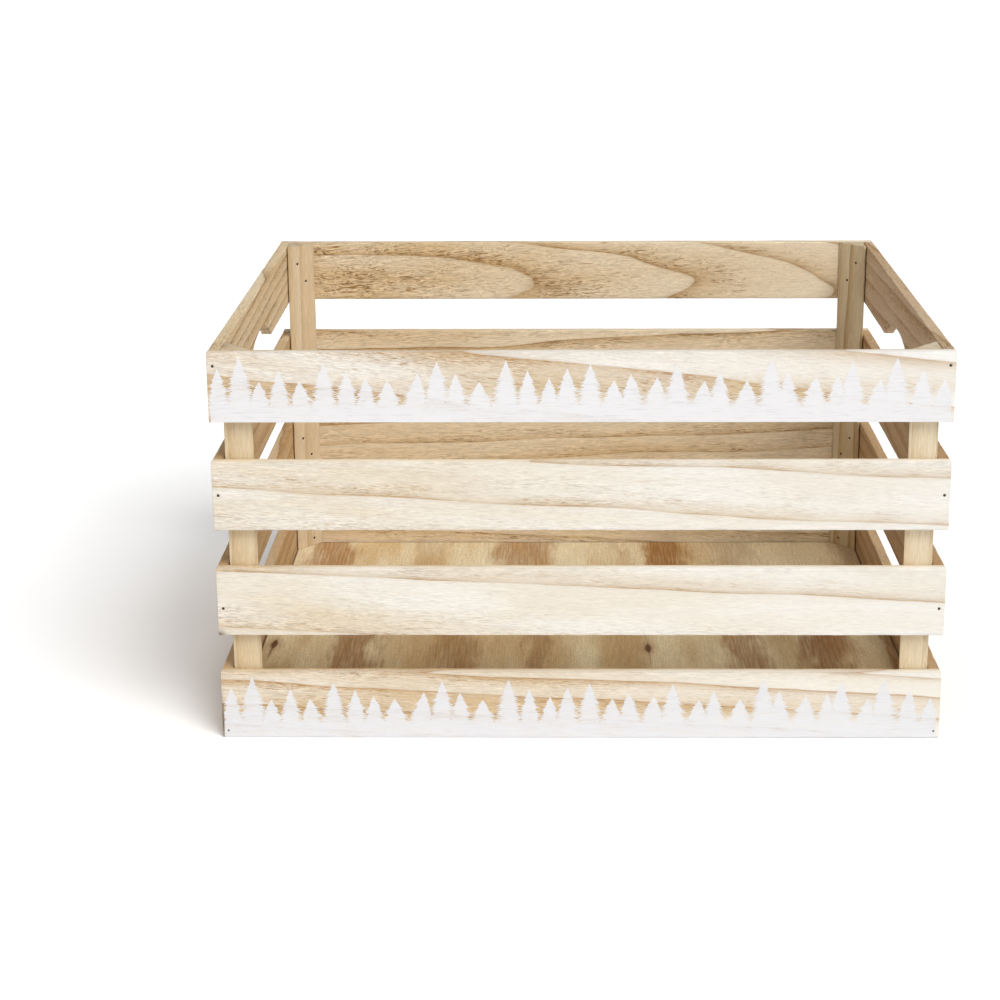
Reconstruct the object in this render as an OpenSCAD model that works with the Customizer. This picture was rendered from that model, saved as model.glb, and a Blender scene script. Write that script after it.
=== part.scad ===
// Slatted kindling box with an open top: four rows of slats nailed round
// triangular corner posts, over a plywood bottom. The front faces -Y, the ground
// is z = 0, and the origin lies under the middle of the box. Millimetres.

/* [Box] */
// Outside width, from the left end of a front slat to its right end
box_w = 470; // [400:1:540]
// Outside depth, from the front face to the back face
box_d = 350; // [280:1:420]

/* [Slats] */
// Height of a slat
slat_h = 46; // [40:1:60]
// Thickness of a slat
slat_t = 7.5; // [6:0.5:12]
// Gap between a slat and the one below it
slat_gap = 26; // [16:1:36]
// Width of the bevel that eases a slat's long edges
slat_ease = 0.5; // [0.2:0.1:1]

/* [Hand holds] */
// Length of the arch cut in the lower edge of each top side slat
hold_len = 108; // [84:1:130]
// Height of that arch in its middle
hold_rise = 16; // [8:1:22]

/* [Corner posts] */
// Length of the two sides of a post that lie against the slats
post_leg = 19.5; // [16:0.5:26]
// Width of the flat that blunts a post's two thin edges
post_blunt = 1; // [0.5:0.1:2]
// Gap between a post and the side slats beside it
post_gap = 0.6; // [0.2:0.1:1.2]

/* [Bottom panel] */
// Thickness of the plywood
panel_t = 9; // [6:0.5:12]
// Height of its underside above the ground
panel_rise = 1.5; // [0.5:0.5:4]
// Gap between its edges and the slats around it
panel_gap = 0.5; // [0.2:0.1:1.5]

/* [Brads] */
// Diameter of a brad's shank
brad_d = 1.1; // [0.9:0.1:1.4]
// Length of a brad's point
brad_tip = 1.8; // [1:0.1:2.5]
// Diameter of a brad's head
head_d = 1.7; // [1.5:0.1:2.4]
// Thickness of the head
head_t = 0.6; // [0.4:0.1:0.9]
// Depth of the head's top below the wood's face
head_set = 0.3; // [0.1:0.1:0.6]
// Depth of a corner brad in the end of a side slat
corner_bite = 17; // [12:1:22]
// Height of each row's corner brads above the slat's lower edge, top row first
corner_rises = [37, 23.5, 18.5, 5]; // [4:0.5:42]
// Depth of a post brad in the slat behind the post, square to the slat's face
post_bite = 3; // [2:0.5:4]
// Distance of the post brads from the middle line of the post's broad face
post_brad_offset = 4; // [3.5:0.5:6]
// Height of the post brads into front and back slats above the slat's lower edge
long_brad_rise = 16.5; // [8:0.5:24]
// Height of the post brads into side slats above the slat's lower edge
side_brad_rise = 31.5; // [26:0.5:36]
// Depth of a floor brad in the foot of a post
floor_bite = 12; // [8:1:20]

/* [Hidden] */
rows = 4;
$fn = 48;
// How far a cutter runs past the face it opens
over = 1;

// A 45 degree line is this much longer than its two sides
diagonal = sqrt(2);
box_h = rows * slat_h + (rows - 1) * slat_gap;
side_len = box_d - 2 * slat_t;
hold_r = (hold_len * hold_len / 4 + hold_rise * hold_rise) / (2 * hold_rise);

// The front left post's square corner, and the height of its foot
post_x = -box_w / 2 + slat_t + post_gap;
post_y = -box_d / 2 + slat_t;
post_z = panel_rise + panel_t;
// Distance from the middle of a post's broad face to its square corner
post_depth = post_leg / diagonal;

corner_brad_l = slat_t + corner_bite - head_set;
long_brad_l = post_depth - post_brad_offset + post_bite * diagonal - head_set;
side_brad_l = long_brad_l + post_gap * diagonal;
floor_brad_l = panel_t + floor_bite - head_set;

row_list = [1 : rows];

pale_wood = [0.93, 0.88, 0.79];
tan_wood = [0.80, 0.69, 0.54];
ply_wood = [0.72, 0.57, 0.38];
steel = [0.42, 0.38, 0.34];

// Height of a row's lower edge. Row 1 is the top one
function row_z(row) = (rows - row) * (slat_h + slat_gap);

function eased_outline(width, height, ease) = [
    [ease, 0], [width - ease, 0], [width, ease], [width, height - ease],
    [width - ease, height], [ease, height], [0, height - ease], [0, ease]
];

module both_ends() {
    children();
    mirror([1, 0, 0]) children();
}

module both_faces() {
    children();
    mirror([0, 1, 0]) children();
}

// A slat along X, centred, with its outer face on y = 0 and lower edge on z = 0
module board(length) {
    rotate([90, 0, 90]) translate([0, 0, -length / 2])
        linear_extrude(length) polygon(eased_outline(slat_t, slat_h, slat_ease));
}

// A brad pointing along +Z with the top of its head at the origin
module brad(length) {
    cylinder(d = head_d, h = head_t);
    cylinder(d = brad_d, h = length - brad_tip);
    translate([0, 0, length - brad_tip]) cylinder(d1 = brad_d, d2 = brad_d / 4, h = brad_tip);
}

// The hole that a brad fills, with the recess over its head
module brad_hole(length) {
    brad(length);
    translate([0, 0, -head_set - over]) cylinder(d = head_d, h = head_set + over + head_t);
}

// Places of the brads at the front left corner
module corner_brad_place(row) {
    translate([-box_w / 2 + slat_t / 2, -box_d / 2 + head_set, row_z(row) + corner_rises[row - 1]])
        rotate([-90, 0, 0]) children();
}

module post_brad_place(row, offset, rise) {
    slide = offset / diagonal;
    translate([post_x + post_leg / 2 + slide, post_y + post_leg / 2 - slide, row_z(row) + rise])
        rotate([90, 0, -45]) translate([0, 0, head_set]) children();
}

module long_brad_place(row) {
    post_brad_place(row, post_brad_offset, long_brad_rise) children();
}

module side_brad_place(row) {
    post_brad_place(row, -post_brad_offset, side_brad_rise) children();
}

module floor_brad_place() {
    translate([post_x + post_leg / 3, post_y + post_leg / 3, panel_rise + head_set]) children();
}

module front_slat(row) {
    color(pale_wood) difference() {
        translate([0, -box_d / 2, row_z(row)]) board(box_w);
        both_ends() {
            corner_brad_place(row) brad_hole(corner_brad_l);
            long_brad_place(row) brad_hole(long_brad_l);
        }
    }
}

module back_slat(row) {
    mirror([0, 1, 0]) front_slat(row);
}

// The top side slat carries the hand hold in its lower edge
module left_slat(row) {
    color(tan_wood) difference() {
        translate([-box_w / 2, 0, row_z(row)]) rotate([0, 0, -90]) board(side_len);
        if (row == 1) hand_hold();
        both_faces() {
            corner_brad_place(row) brad_hole(corner_brad_l);
            side_brad_place(row) brad_hole(side_brad_l);
        }
    }
}

module hand_hold() {
    translate([-box_w / 2 - over, 0, row_z(1) + hold_rise - hold_r])
        rotate([0, 90, 0]) cylinder(r = hold_r, h = slat_t + 2 * over, $fn = 180);
}

module right_slat(row) {
    mirror([1, 0, 0]) left_slat(row);
}

// Half of a square strip, cut corner to corner, with its broad face to the inside
module front_left_post() {
    tip = post_leg - post_blunt;
    color(tan_wood) difference() {
        translate([post_x, post_y, post_z]) linear_extrude(box_h - post_z)
            polygon([[0, 0], [tip, 0], [tip, post_blunt], [post_blunt, tip], [0, tip]]);
        for (row = row_list) {
            long_brad_place(row) brad_hole(long_brad_l);
            side_brad_place(row) brad_hole(side_brad_l);
        }
        floor_brad_place() brad_hole(floor_brad_l);
    }
}

module front_left_post_brads() {
    color(steel) for (row = row_list) {
        long_brad_place(row) brad(long_brad_l);
        side_brad_place(row) brad(side_brad_l);
    }
}

module bottom_panel() {
    panel_w = box_w - 2 * (slat_t + panel_gap);
    panel_d = side_len - 2 * panel_gap;
    color(ply_wood) difference() {
        translate([-panel_w / 2, -panel_d / 2, panel_rise]) cube([panel_w, panel_d, panel_t]);
        both_ends() both_faces() floor_brad_place() brad_hole(floor_brad_l);
    }
}

module front_corner_brads() {
    color(steel) both_ends() for (row = row_list)
        corner_brad_place(row) brad(corner_brad_l);
}

module floor_brads() {
    color(steel) both_ends() both_faces() floor_brad_place() brad(floor_brad_l);
}

for (row = row_list) {
    front_slat(row);
    back_slat(row);
    left_slat(row);
    right_slat(row);
}

// Each corner is the front left one, mirrored
for (x_flip = [false, true], y_flip = [false, true]) {
    corner = str(y_flip ? "back" : "front", x_flip ? "_right" : "_left", "_post");
    flip_x = [x_flip ? 1 : 0, 0, 0];
    flip_y = [0, y_flip ? 1 : 0, 0];
    mirror(flip_x) mirror(flip_y) front_left_post();
    mirror(flip_x) mirror(flip_y) front_left_post_brads();
}

bottom_panel();
front_corner_brads();
mirror([0, 1, 0]) front_corner_brads();  // back_corner_brads
floor_brads();
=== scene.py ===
import math
import bpy
import bmesh
import numpy as np
from mathutils import Matrix, Vector


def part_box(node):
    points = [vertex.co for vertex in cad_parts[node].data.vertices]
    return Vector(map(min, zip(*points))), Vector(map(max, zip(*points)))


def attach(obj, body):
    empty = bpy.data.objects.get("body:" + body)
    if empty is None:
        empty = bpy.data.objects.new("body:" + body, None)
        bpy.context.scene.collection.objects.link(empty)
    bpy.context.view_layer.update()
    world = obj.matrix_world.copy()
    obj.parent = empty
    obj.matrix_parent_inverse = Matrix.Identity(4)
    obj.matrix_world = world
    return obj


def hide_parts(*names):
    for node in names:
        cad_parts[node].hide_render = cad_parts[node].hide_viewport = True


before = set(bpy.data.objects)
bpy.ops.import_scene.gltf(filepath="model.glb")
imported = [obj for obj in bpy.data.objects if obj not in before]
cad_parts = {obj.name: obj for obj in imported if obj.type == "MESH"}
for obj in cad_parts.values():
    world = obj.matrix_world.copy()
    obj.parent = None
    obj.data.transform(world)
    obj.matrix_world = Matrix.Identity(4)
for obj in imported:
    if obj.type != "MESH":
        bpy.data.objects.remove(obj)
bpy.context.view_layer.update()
print("frame loaded:", len(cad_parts), "nodes")


# Screen colour to the linear values that Blender's sockets take
def hexColour(code):
    screen = np.array([int(code[i:i + 2], 16) for i in (0, 2, 4)]) / 255
    linear = np.where(screen < 0.04045, screen / 12.92, ((screen + 0.055) / 1.055) ** 2.4)
    return (*linear.tolist(), 1.0)


# Slow drift along a line, from -1 to 1: the mean of a few sines with about the given wave lengths
def drift(place, seed, waves, luck=(0.8, 1.25)):
    dice = np.random.default_rng(seed)
    waves = np.array(waves) * dice.uniform(*luck, len(waves))
    turns = dice.uniform(0, 2 * np.pi, len(waves))
    return np.sin(2 * np.pi * np.asarray(place)[..., None] / waves + turns).mean(-1)


# Even steps from start to end, with finer ones round each spot (place, reach, step)
def cutPlaces(start, end, step, spots=(), closest=0.06):
    places = [np.linspace(start, end, int(round((end - start) / step)) + 1)]
    places += [np.arange(place - reach, place + reach + fine / 2, fine) for place, reach, fine in spots]
    places = np.sort(np.concatenate(places))
    places = places[(places >= start) & (places <= end)]
    keep = np.append(np.diff(places) > closest, True)
    keep[0] = True
    return places[keep]


# Unit vectors from each corner of the outlines to the next
def sideDirections(corners):
    ahead = np.roll(corners, -1, axis=1) - corners
    return ahead / np.linalg.norm(ahead, axis=2, keepdims=True)


# Outlines with their corners eased, one for each station. Corner c, with a and b at the easing's length
# before and after it, becomes the curve (1-t)^2 a + 2t(1-t) c + t^2 b. The side after it is cut in shares
def easedOutlines(corners, easing, shares, curveSteps=5):
    ahead = sideDirections(corners)
    before = corners - np.roll(ahead, 1, axis=1) * easing[..., None]
    after = corners + ahead * easing[..., None]
    t = np.linspace(0, 1, curveSteps)[:, None]
    curves = ((1 - t) ** 2 * before[:, :, None] + 2 * t * (1 - t) * corners[:, :, None]
              + t ** 2 * after[:, :, None])
    sideEnds = np.roll(before, -1, axis=1)
    parts = []
    for k, share in enumerate(shares):
        parts.append(curves[:, k])
        parts.append(after[:, k, None] + (sideEnds[:, k] - after[:, k])[:, None] * share[:, None])
    return np.concatenate(parts, axis=1)


# Moves each corner of a row of outlines inwards, so that both its sides move in by the same distance
def shrunkCorners(corners, distance):
    ahead = sideDirections(corners)
    inNext = np.stack([-ahead[..., 1], ahead[..., 0]], axis=-1)
    inLast = np.roll(inNext, 1, axis=1)
    both = (inNext + inLast) / (1 + (inNext * inLast).sum(-1, keepdims=True))
    return corners + both * distance[:, None, None]


# Wear: 1 up to a distance from an edge or end, then falling off by e over the next. End grain: 1 at the ends
def wearFields(cut, outlines, corners, toEnd):
    worn, fallOff = cut["wear"]
    toCorner = np.linalg.norm(outlines[:, :, None] - corners[:, None], axis=3).min(2)
    wear = np.exp(-np.minimum(np.maximum(toCorner - worn, 0), toEnd[:, None]) / fallOff)
    return {"edgeWear": wear,
            "endGrain": np.broadcast_to(toEnd[:, None] < cut["endEasing"] / 2, wear.shape)}


# Points (along, up, inward) in mm from a board's origin, as places in metres
def placePoints(frameOfBoard, points):
    origin, *directions = frameOfBoard
    return np.array(origin) + points @ (np.array(directions) * 0.001)


# Joins rows of points (piece, row, point round the outline, xyz) to closed shells: quads between the
# rows and a flat face over both ends. Faces are turned where the shells come out inside out
def shellMesh(name, shells, fields, sharpFrom=math.radians(38)):
    faces, start = [], 0
    for points in shells:
        pieces, rows, around = points.shape[:3]
        index = start + np.arange(pieces * rows * around).reshape(pieces, rows, around)
        beside = np.roll(index, -1, axis=2)
        quads = np.stack([index[:, :-1], beside[:, :-1], beside[:, 1:], index[:, 1:]], axis=-1)
        faces += quads.reshape(-1, 4).tolist() + index[:, 0, ::-1].tolist() + index[:, -1].tolist()
        start += index.size
    mesh = bpy.data.meshes.new(name)
    mesh.from_pydata(np.concatenate([points.reshape(-1, 3) for points in shells]), [], faces)
    for field, values in fields.items():
        layer = mesh.attributes.new(field, "FLOAT", "POINT")
        layer.data.foreach_set("value", np.ascontiguousarray(values, np.float32).ravel())
    if signedVolume(mesh) < 0:
        mesh.flip_normals()
    mesh.shade_smooth()
    mesh.set_sharp_from_angle(angle=sharpFrom)
    return newObject(name, mesh)


def newObject(name, data):
    made = bpy.data.objects.new(name, data)
    bpy.context.scene.collection.objects.link(made)
    return made


def signedVolume(mesh):
    shell = bmesh.new()
    shell.from_mesh(mesh)
    volume = shell.calc_volume(signed=True)
    shell.free()
    return volume


shot = {
    "place": (-13.476, -1370.41, 575.85),  # mm
    "turn": -0.01255,  # radians, to the right of the box's depth
    "tip": 0.24551,  # radians, downwards
    "roll": -0.00453,
    "lens": 71.17344,
    "sensor": 36,
    "shift": (-0.035, -0.17),
    "clip": (0.05, 100),  # metres
}

light = {
    "keyTurn": 36,  # degrees, from straight behind the camera to the right
    "keyHeight": 47,  # degrees above the floor
    "keyWidth": 36,  # degrees that the lamp spans, as seen from the box
    "keyStrength": 2.7,
    "keyColour": "FFFFFF",
    "wallGlow": 1.0,  # the white room near the horizon
    "ceilingGlow": 0.515,
    "wallTop": (0.1, 0.3),  # steepness of a look at which the wall goes over to the ceiling
    "floorHalf": 40,  # metres
    "floorShade": 0.96,
    "floorRoughness": 0.9,
    "floorGloss": 0.1,
}


def makeCamera():
    turn, tip = shot["turn"], shot["tip"]
    ahead = Vector((math.sin(turn) * math.cos(tip), math.cos(turn) * math.cos(tip), -math.sin(tip)))
    level = Vector((math.cos(turn), -math.sin(turn), 0))
    upward = level.cross(ahead)
    right = level * math.cos(shot["roll"]) + upward * math.sin(shot["roll"])
    camera = newObject("camera", bpy.data.cameras.new("camera"))
    camera.matrix_world = Matrix.Translation(Vector(shot["place"]) * 0.001) @ Matrix(
        (right, right.cross(ahead), -ahead)).transposed().to_4x4()
    camera.data.sensor_width = shot["sensor"]
    camera.data.lens = shot["lens"]
    camera.data.shift_x, camera.data.shift_y = shot["shift"]
    camera.data.clip_start, camera.data.clip_end = shot["clip"]
    bpy.context.scene.camera = camera


def makeStudio():
    scene = bpy.context.scene
    scene.view_settings.view_transform = "Standard"
    world = bpy.data.worlds.new("white room")
    scene.world = world
    world.use_nodes = True
    tree = world.node_tree
    tree.nodes.clear()
    look = tree.nodes.new("ShaderNodeTexCoord").outputs["Generated"]
    steepness = axesOf(look)["Z"]
    low, high = light["wallTop"]
    glow = addNode("MapRange", {"Value": steepness, "From Min": low, "From Max": high,
                   "To Min": light["wallGlow"], "To Max": light["ceilingGlow"]},
                   interpolation_type="SMOOTHSTEP").outputs[0]
    shine = addNode("Background", {"Strength": glow, "Color": (1, 1, 1, 1)}).outputs[0]
    addNode("OutputWorld", {"Surface": shine})

    lamp = bpy.data.lights.new("key", "SUN")
    lamp.energy = light["keyStrength"]
    lamp.angle = math.radians(light["keyWidth"])
    lamp.color = hexColour(light["keyColour"])[:3]
    key = newObject("key", lamp)
    turn, height = math.radians(light["keyTurn"]), math.radians(light["keyHeight"])
    towards = Vector((math.sin(turn) * math.cos(height), -math.cos(turn) * math.cos(height),
                      math.sin(height)))
    key.rotation_euler = towards.to_track_quat("Z", "Y").to_euler()

    half = light["floorHalf"]
    mesh = bpy.data.meshes.new("floor")
    mesh.from_pydata([(-half, -half, 0), (half, -half, 0), (half, half, 0), (-half, half, 0)], [],
                     [(0, 1, 2, 3)])
    matt, _, shader = newMaterial("white floor", light["floorRoughness"], light["floorGloss"])
    shader.inputs["Base Color"].default_value = (*[light["floorShade"]] * 3, 1)
    mesh.materials.append(matt)
    floor = newObject("floor", mesh)


def link(source, target):
    source.id_data.links.new(source, target)


# Adds a shader node beside those it is fed from: links what is a socket, sets what is a value, and reads
# text as a colour
def addNode(kind, inputs, **settings):
    tree = next(value.id_data for value in inputs.values() if isinstance(value, bpy.types.NodeSocket))
    made = tree.nodes.new("ShaderNode" + kind)
    for name, value in settings.items():
        setattr(made, name, value)
    for socket, value in inputs.items():
        if isinstance(value, bpy.types.NodeSocket):
            link(value, made.inputs[socket])
        else:
            made.inputs[socket].default_value = hexColour(value) if isinstance(value, str) else value
    return made


def calc(operation, first, second=0.0, third=0.0, clamp=False):
    inputs = {0: first, 1: second, 2: third}
    return addNode("Math", inputs, operation=operation, use_clamp=clamp).outputs[0]


# value * factor + base
def scaled(value, factor, base=0.0, clamp=False):
    return calc("MULTIPLY_ADD", value, factor, base, clamp)


# Maths on vectors. The second value of SCALE is a number
def vectorCalc(operation, first, second=(0, 0, 0)):
    socket = "Scale" if operation == "SCALE" else 1
    made = addNode("VectorMath", {0: first, socket: second}, operation=operation)
    return made.outputs["Value" if operation in ("LENGTH", "DISTANCE") else "Vector"]


def axesOf(vector):
    return addNode("SeparateXYZ", {0: vector}).outputs


def readAttribute(tree, name):
    made = tree.nodes.new("ShaderNodeAttribute")
    made.attribute_name = name
    return made.outputs["Fac"]


# Noise on a place in mm with the grain along x: a patch's length and width, then detail and roughness
def grainNoise(place, length, width, detail=1.0, roughness=0.5):
    stretched = vectorCalc("MULTIPLY", place, (1 / length, 1 / width, 1 / width))
    return addNode("TexNoise", {"Vector": stretched, "Scale": 1.0, "Detail": detail,
                   "Roughness": roughness}).outputs["Fac"]


# 0 below low, 1 or top above high, smooth between
def between(value, low, high, top=1.0):
    return addNode("MapRange", {"Value": value, "From Min": low, "From Max": high,
                   "To Max": top}, interpolation_type="SMOOTHSTEP").outputs[0]


# Object coordinates in millimetres
def millimetres(tree):
    place = tree.nodes.new("ShaderNodeTexCoord").outputs["Object"]
    return addNode("Mapping", {"Vector": place, "Scale": (1000, 1000, 1000)}).outputs[0]


def newMaterial(name, roughness=0.5, gloss=0.5):
    material = bpy.data.materials.new(name)
    material.use_nodes = True
    shader = material.node_tree.nodes["Principled BSDF"]
    shader.inputs["Roughness"].default_value = roughness
    shader.inputs["Specular IOR Level"].default_value = gloss
    return material, material.node_tree, shader


def feedShader(shader, colour, height, bump):
    strength, distance = bump
    link(colour, shader.inputs["Base Color"])
    bumped = addNode("Bump", {"Height": height, "Strength": strength, "Distance": distance})
    link(bumped.outputs[0], shader.inputs["Normal"])


def dressNode(name, material):
    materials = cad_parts[name].data.materials
    materials.clear()
    materials.append(material)


# Mixes two colours by a share of the second
def blendColour(share, first, second):
    return addNode("Mix", {0: share, 6: first, 7: second}, data_type="RGBA").outputs[2]


# Patterns in sawn wood: mm along the grain and across it, then detail and roughness
grainSizes = {
    "sweep": (210, 46),  # bends of the rings, from long to short
    "wave": (62, 15),
    "wander": (14, 1.6),
    "aside": (28, 6),  # wavering of fibres and pores
    "patch": (55, 9),  # where lines and streaks are strong
    "cloud": (130, 17, 2),  # soft tan patches
    "pore": (11, 0.72, 2, 0.65),
    "finePore": (5, 0.45),
    "fibre": (11, 0.6, 2, 0.7),
    "strand": (80, 1.5, 1, 0.6),
    "rub": (14, 9, 2),  # where handled edges are dark
}

# Values of a pattern at which its patches start and are full
grainCuts = {"patch": (0.3, 0.65), "cloud": (0.32, 0.7), "pore": (0.53, 0.67), "finePore": (0.5, 0.66),
             "rub": (0.35, 0.75)}

rings = {
    "seedShift": (137.0, 51.3, 93.7),  # mm between the patterns of two seeds
    "yearShift": 7.31,
    "waveShare": 0.3,  # strength of the waves beside the sweeps
    "linePower": 38,  # a higher power makes the line at a ring's end narrower
    "approachPower": 7,  # the soft shade before that line, and the one behind it
    "behindPower": 40,
    "softShare": 0.45,  # strength of both beside the line
    "patchLine": (0.5, 0.5),  # strength of a line: more in its patches, and everywhere
    "zonePower": 1.7,  # a higher power packs the streaks closer to the line
    "lineLuck": (0.55, 0.5),  # what luck adds to a line's strength, and the least of it
    "density": (0.8, 0.16),  # of streaks: more in the zone, and everywhere
    "fadeReach": 235.0,  # mm from the middle of a board to where the fade is full
    "fadeLeast": 0.1,
    "finePores": 0.5,  # strength of the fine pores beside the others
    # dark brown of the marks: dirt, and painted shade at front slat 4's lower edge
    "grimeAndShade": "4A3428",
    "ringTan": (0.7, 0.5),  # tan in the zone, and in the approach
    "bandFade": (0.4, 0.6),  # of that tan: what fades, and what stays
    "narrowTan": -0.5,  # less of it on the narrow faces
    "cloudTan": 0.3,
    "spotStreaks": 0.6,  # streaks that a tan spot adds
    "strandShare": 0.25,  # strength of the strands beside the fibres
    "fibreMiddle": 0.625,  # mean of both
    "fibreDepth": (0.5, 0.42),  # more among the streaks, and everywhere
    "fibreFade": (0.5, 0.5),  # what fades, and what stays
    "relief": (-0.9, 0.7, -0.5),  # height of streaks, fibres and lines, as shares of the bump
    "endShade": -0.12,  # end grain and rubbed edges are darker
    "rubShade": -0.14,
    "roughness": (0.15, 0.66),  # more in the streaks, and everywhere
}


# Grain of one stick of wood, worked out in mm with the grain along x and the pith on the x axis. The distance
# from the pith, bent by three sizes of noise, is cut into growth rings. In each ring brown streaks get denser
# until they end at a fine line, and the next ring starts pale
def makeGrainGroup():
    tree = bpy.data.node_groups.new("sawn grain", "ShaderNodeTree")
    taken = {"Vector": ("Place",), "Color": ("Pale", "Tan", "Brown"),
             "Float": ("Ring", "Curve", "Wobble", "Fray", "Seed", "Lines", "Sharp", "Pores", "Waver",
                       "Streaks", "Fibres", "Bands", "Tone", "Fade", "NarrowFaceLight", "Inside")}
    for kind, names in taken.items():
        for name in names:
            tree.interface.new_socket(name, in_out="INPUT", socket_type="NodeSocket" + kind)
    for name, kind in (("Color", "Color"), ("Relief", "Float"), ("Roughness", "Float")):
        tree.interface.new_socket(name, in_out="OUTPUT", socket_type="NodeSocket" + kind)
    given = tree.nodes.new("NodeGroupInput").outputs

    def noise(name, where):
        return grainNoise(where, *grainSizes[name])

    def patches(name, where):
        return between(noise(name, where), *grainCuts[name])

    shift = vectorCalc("SCALE", rings["seedShift"], given["Seed"])
    place = vectorCalc("ADD", given["Place"], shift)
    radius = vectorCalc("LENGTH", vectorCalc("MULTIPLY", given["Place"], (0, 1, 1)))

    # Bends of the rings: long sweeps, waves, and the wander of single fibres
    sweep, wave, wander, aside = [calc("SUBTRACT", noise(name, place), 0.5)
                                  for name in ("sweep", "wave", "wander", "aside")]
    bend = scaled(wave, rings["waveShare"], sweep)
    radius = scaled(bend, given["Wobble"], radius)
    radius = scaled(wander, given["Fray"], radius)
    # The pith line may curve on the left half, which moves the rings out by curve * x^2 / 1000
    lengthwise = axesOf(given["Place"])["X"]
    leftOnly = calc("MINIMUM", lengthwise, 0.0)
    bow = scaled(scaled(leftOnly, leftOnly), 0.001)
    radius = scaled(bow, given["Curve"], radius)
    turns = calc("DIVIDE", radius, given["Ring"])
    stage = calc("FRACT", turns)
    year = calc("MULTIPLY", given["Seed"], rings["yearShift"])
    year = calc("ADD", calc("FLOOR", turns), year)
    luck = addNode("TexWhiteNoise", {"W": year}, noise_dimensions="1D").outputs["Value"]

    # The figure fades from the left end to the right one
    fade = calc("DIVIDE", scaled(lengthwise, given["Fade"]), -rings["fadeReach"])
    fade = calc("MAXIMUM", calc("ADD", fade, 1.0), rings["fadeLeast"])

    # Strength of the line, of the soft shade round it, and of the zone of streaks before it
    line = scaled(calc("POWER", stage, rings["linePower"]), given["Sharp"])
    approach = calc("POWER", stage, rings["approachPower"])
    behind = calc("POWER", calc("SUBTRACT", 1.0, stage), rings["behindPower"])
    zone = calc("POWER", stage, rings["zonePower"])
    patchy = patches("patch", place)
    strength = scaled(luck, *rings["lineLuck"])
    lineShape = scaled(calc("ADD", approach, behind), rings["softShare"], line)
    lineShare = scaled(lineShape, scaled(strength, scaled(patchy, *rings["patchLine"])))
    lineShare = scaled(lineShare, given["Lines"], clamp=True)

    # Pores cut lengthwise: short dark streaks and finer ones between them, which waver from side to side
    aside = scaled(aside, given["Waver"])
    aside = addNode("CombineXYZ", {"X": 0.0, "Y": aside, "Z": aside}).outputs[0]
    wavy = vectorCalc("ADD", place, aside)
    porePlace = vectorCalc("SCALE", wavy, calc("DIVIDE", 1.0, given["Pores"]))
    pores = scaled(patches("finePore", porePlace), rings["finePores"], patches("pore", porePlace))
    tanSpot = readAttribute(tree, "tanSpot")
    dense = scaled(scaled(zone, patchy), *rings["density"])
    dense = scaled(tanSpot, rings["spotStreaks"], scaled(dense, fade))
    streaks = scaled(scaled(pores, dense), given["Streaks"], clamp=True)

    # Colour: pale, tan by ring and in soft patches, then the streaks and the line in brown
    narrow = readAttribute(tree, "narrowFace")
    zoneTan, approachTan = rings["ringTan"]
    bands = scaled(zone, zoneTan, scaled(approach, approachTan))
    bands = scaled(scaled(bands, strength), given["Bands"])
    bands = scaled(bands, scaled(fade, *rings["bandFade"]))
    bands = scaled(bands, scaled(narrow, rings["narrowTan"], 1.0))
    # Tone fades from left to right with the figure; on front slats 2 and 3 that gradient is painted shade
    tanShare = scaled(scaled(patches("cloud", place), rings["cloudTan"], given["Tone"]), fade)
    # Inner faces get more tan: the pale wood's whitish outer faces are painted light, the inner faces keep
    # its warmer tone
    tanShare = scaled(readAttribute(tree, "innerFace"), given["Inside"], tanShare)
    tanShare = calc("ADD", calc("ADD", tanShare, tanSpot), bands, clamp=True)
    colour = blendColour(tanShare, given["Pale"], given["Tan"])
    colour = blendColour(streaks, colour, given["Brown"])
    colour = blendColour(lineShare, colour, given["Brown"])
    # Dirt and painted shade from the board's dark marks, in one dark brown
    colour = blendColour(readAttribute(tree, "grimeAndShade"), colour, rings["grimeAndShade"])

    # Fibres: fine light and dark lines as long as the pores, and wider strands, stronger among the streaks
    wavyParts = axesOf(wavy)
    fibrePlace = {"X": calc("DIVIDE", wavyParts["X"], given["Pores"]), "Y": wavyParts["Y"],
                  "Z": wavyParts["Z"]}
    fibre = noise("fibre", addNode("CombineXYZ", fibrePlace).outputs[0])
    both = calc("ADD", fibre, scaled(noise("strand", wavy), rings["strandShare"]))
    depth = scaled(scaled(dense, *rings["fibreDepth"]), given["Fibres"])
    depth = scaled(depth, scaled(fade, *rings["fibreFade"]))
    shade = scaled(calc("SUBTRACT", both, rings["fibreMiddle"]), depth, 1.0)

    # Shade of end grain and rubbed edges, then painted light on the pale wood's narrow faces, painted shade
    # on the tan's
    rubbed = scaled(readAttribute(tree, "edgeWear"), patches("rub", place))
    shade = scaled(readAttribute(tree, "endGrain"), rings["endShade"], shade)
    shade = scaled(rubbed, rings["rubShade"], shade)
    shade = scaled(narrow, given["NarrowFaceLight"], shade)

    streakRelief, fibreRelief, lineRelief = rings["relief"]
    relief = scaled(streaks, streakRelief, scaled(fibre, fibreRelief))
    result = tree.nodes.new("NodeGroupOutput").inputs
    link(vectorCalc("SCALE", colour, shade), result["Color"])
    link(scaled(lineShare, lineRelief, relief), result["Relief"])
    link(scaled(streaks, *rings["roughness"]), result["Roughness"])
    return tree


grainGroup = makeGrainGroup()

# Bump: strength, metres. Tan spots and dark marks (dirt and painted shade) that overlap add up to spotMost
woodFinish = {"gloss": 0.3, "bump": (0.5, 0.00012), "spotMost": 0.9}
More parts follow.
